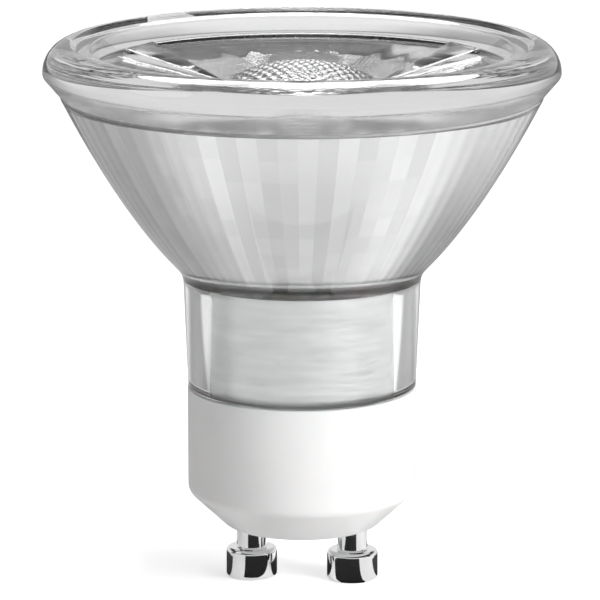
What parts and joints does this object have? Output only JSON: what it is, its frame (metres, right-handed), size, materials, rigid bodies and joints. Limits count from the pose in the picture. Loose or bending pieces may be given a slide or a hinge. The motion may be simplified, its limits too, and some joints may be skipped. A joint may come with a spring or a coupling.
{
  "type": "led spotlight bulb",
  "caption": "Reflector spotlight bulb with a clear domed lens, a faceted mirrored glass cup, a white base and a twist-lock pin base.",
  "frame": {"origin": "on the bulb's axis at the level of the pin ends", "axes": "+Z along the bulb's axis from the pins to the lens, X along the line of the two pins"},
  "size_m": [0.05, 0.05, 0.0534],
  "materials": {
    "clear_lens": "clear, moulded",
    "seal": "matt",
    "mirrored_glass": "clear outside, mirrored inside",
    "white_base": "satin",
    "pin_metal": "polished",
    "sleeve_aluminium": "rolled",
    "plate_aluminium": "turned",
    "pad_silicone": "matt",
    "led_board_mask": "white solder mask",
    "phosphor": "translucent",
    "dam_silicone": "matt",
    "screw_steel": "plated",
    "wire_black": "satin",
    "wire_red": "satin",
    "solder": "bright",
    "insulator_plastic": "satin",
    "circuit_board": "satin",
    "capacitor_sleeve": "gloss",
    "film_coating": "gloss",
    "ferrite": "matt",
    "copper_wire": "enamelled",
    "resistor_coating": "matt",
    "chip_plastic": "matt",
    "cement": "matt"
  },
  "bodies": {
    "root": {"front_lens": "clear_lens", "lens_seal_ring": "seal", "glass_reflector": "mirrored_glass", "neck_cement": "cement", "base_cap": "white_base", "contact_pin_left": "pin_metal", "contact_pin_right": "pin_metal", "heat_sink_sleeve": "sleeve_aluminium", "heat_sink_plate": "plate_aluminium", "thermal_pad": "pad_silicone", "led_board": "led_board_mask", "led_phosphor": "phosphor", "led_dam_ring": "dam_silicone", "led_board_screws": "screw_steel", "led_wire_negative": "wire_black", "led_wire_positive": "wire_red", "led_solder_joints": "solder", "driver_insulator": "insulator_plastic", "driver_board": "circuit_board", "electrolytic_capacitor": "capacitor_sleeve", "choke_core": "ferrite", "choke_winding": "copper_wire", "film_capacitor": "film_coating", "fusible_resistor": "resistor_coating", "bridge_rectifier": "chip_plastic", "driver_chip": "chip_plastic", "chip_resistors": "chip_plastic", "input_wire_left": "wire_black", "input_wire_right": "wire_red"}
  },
  "joints": []
}
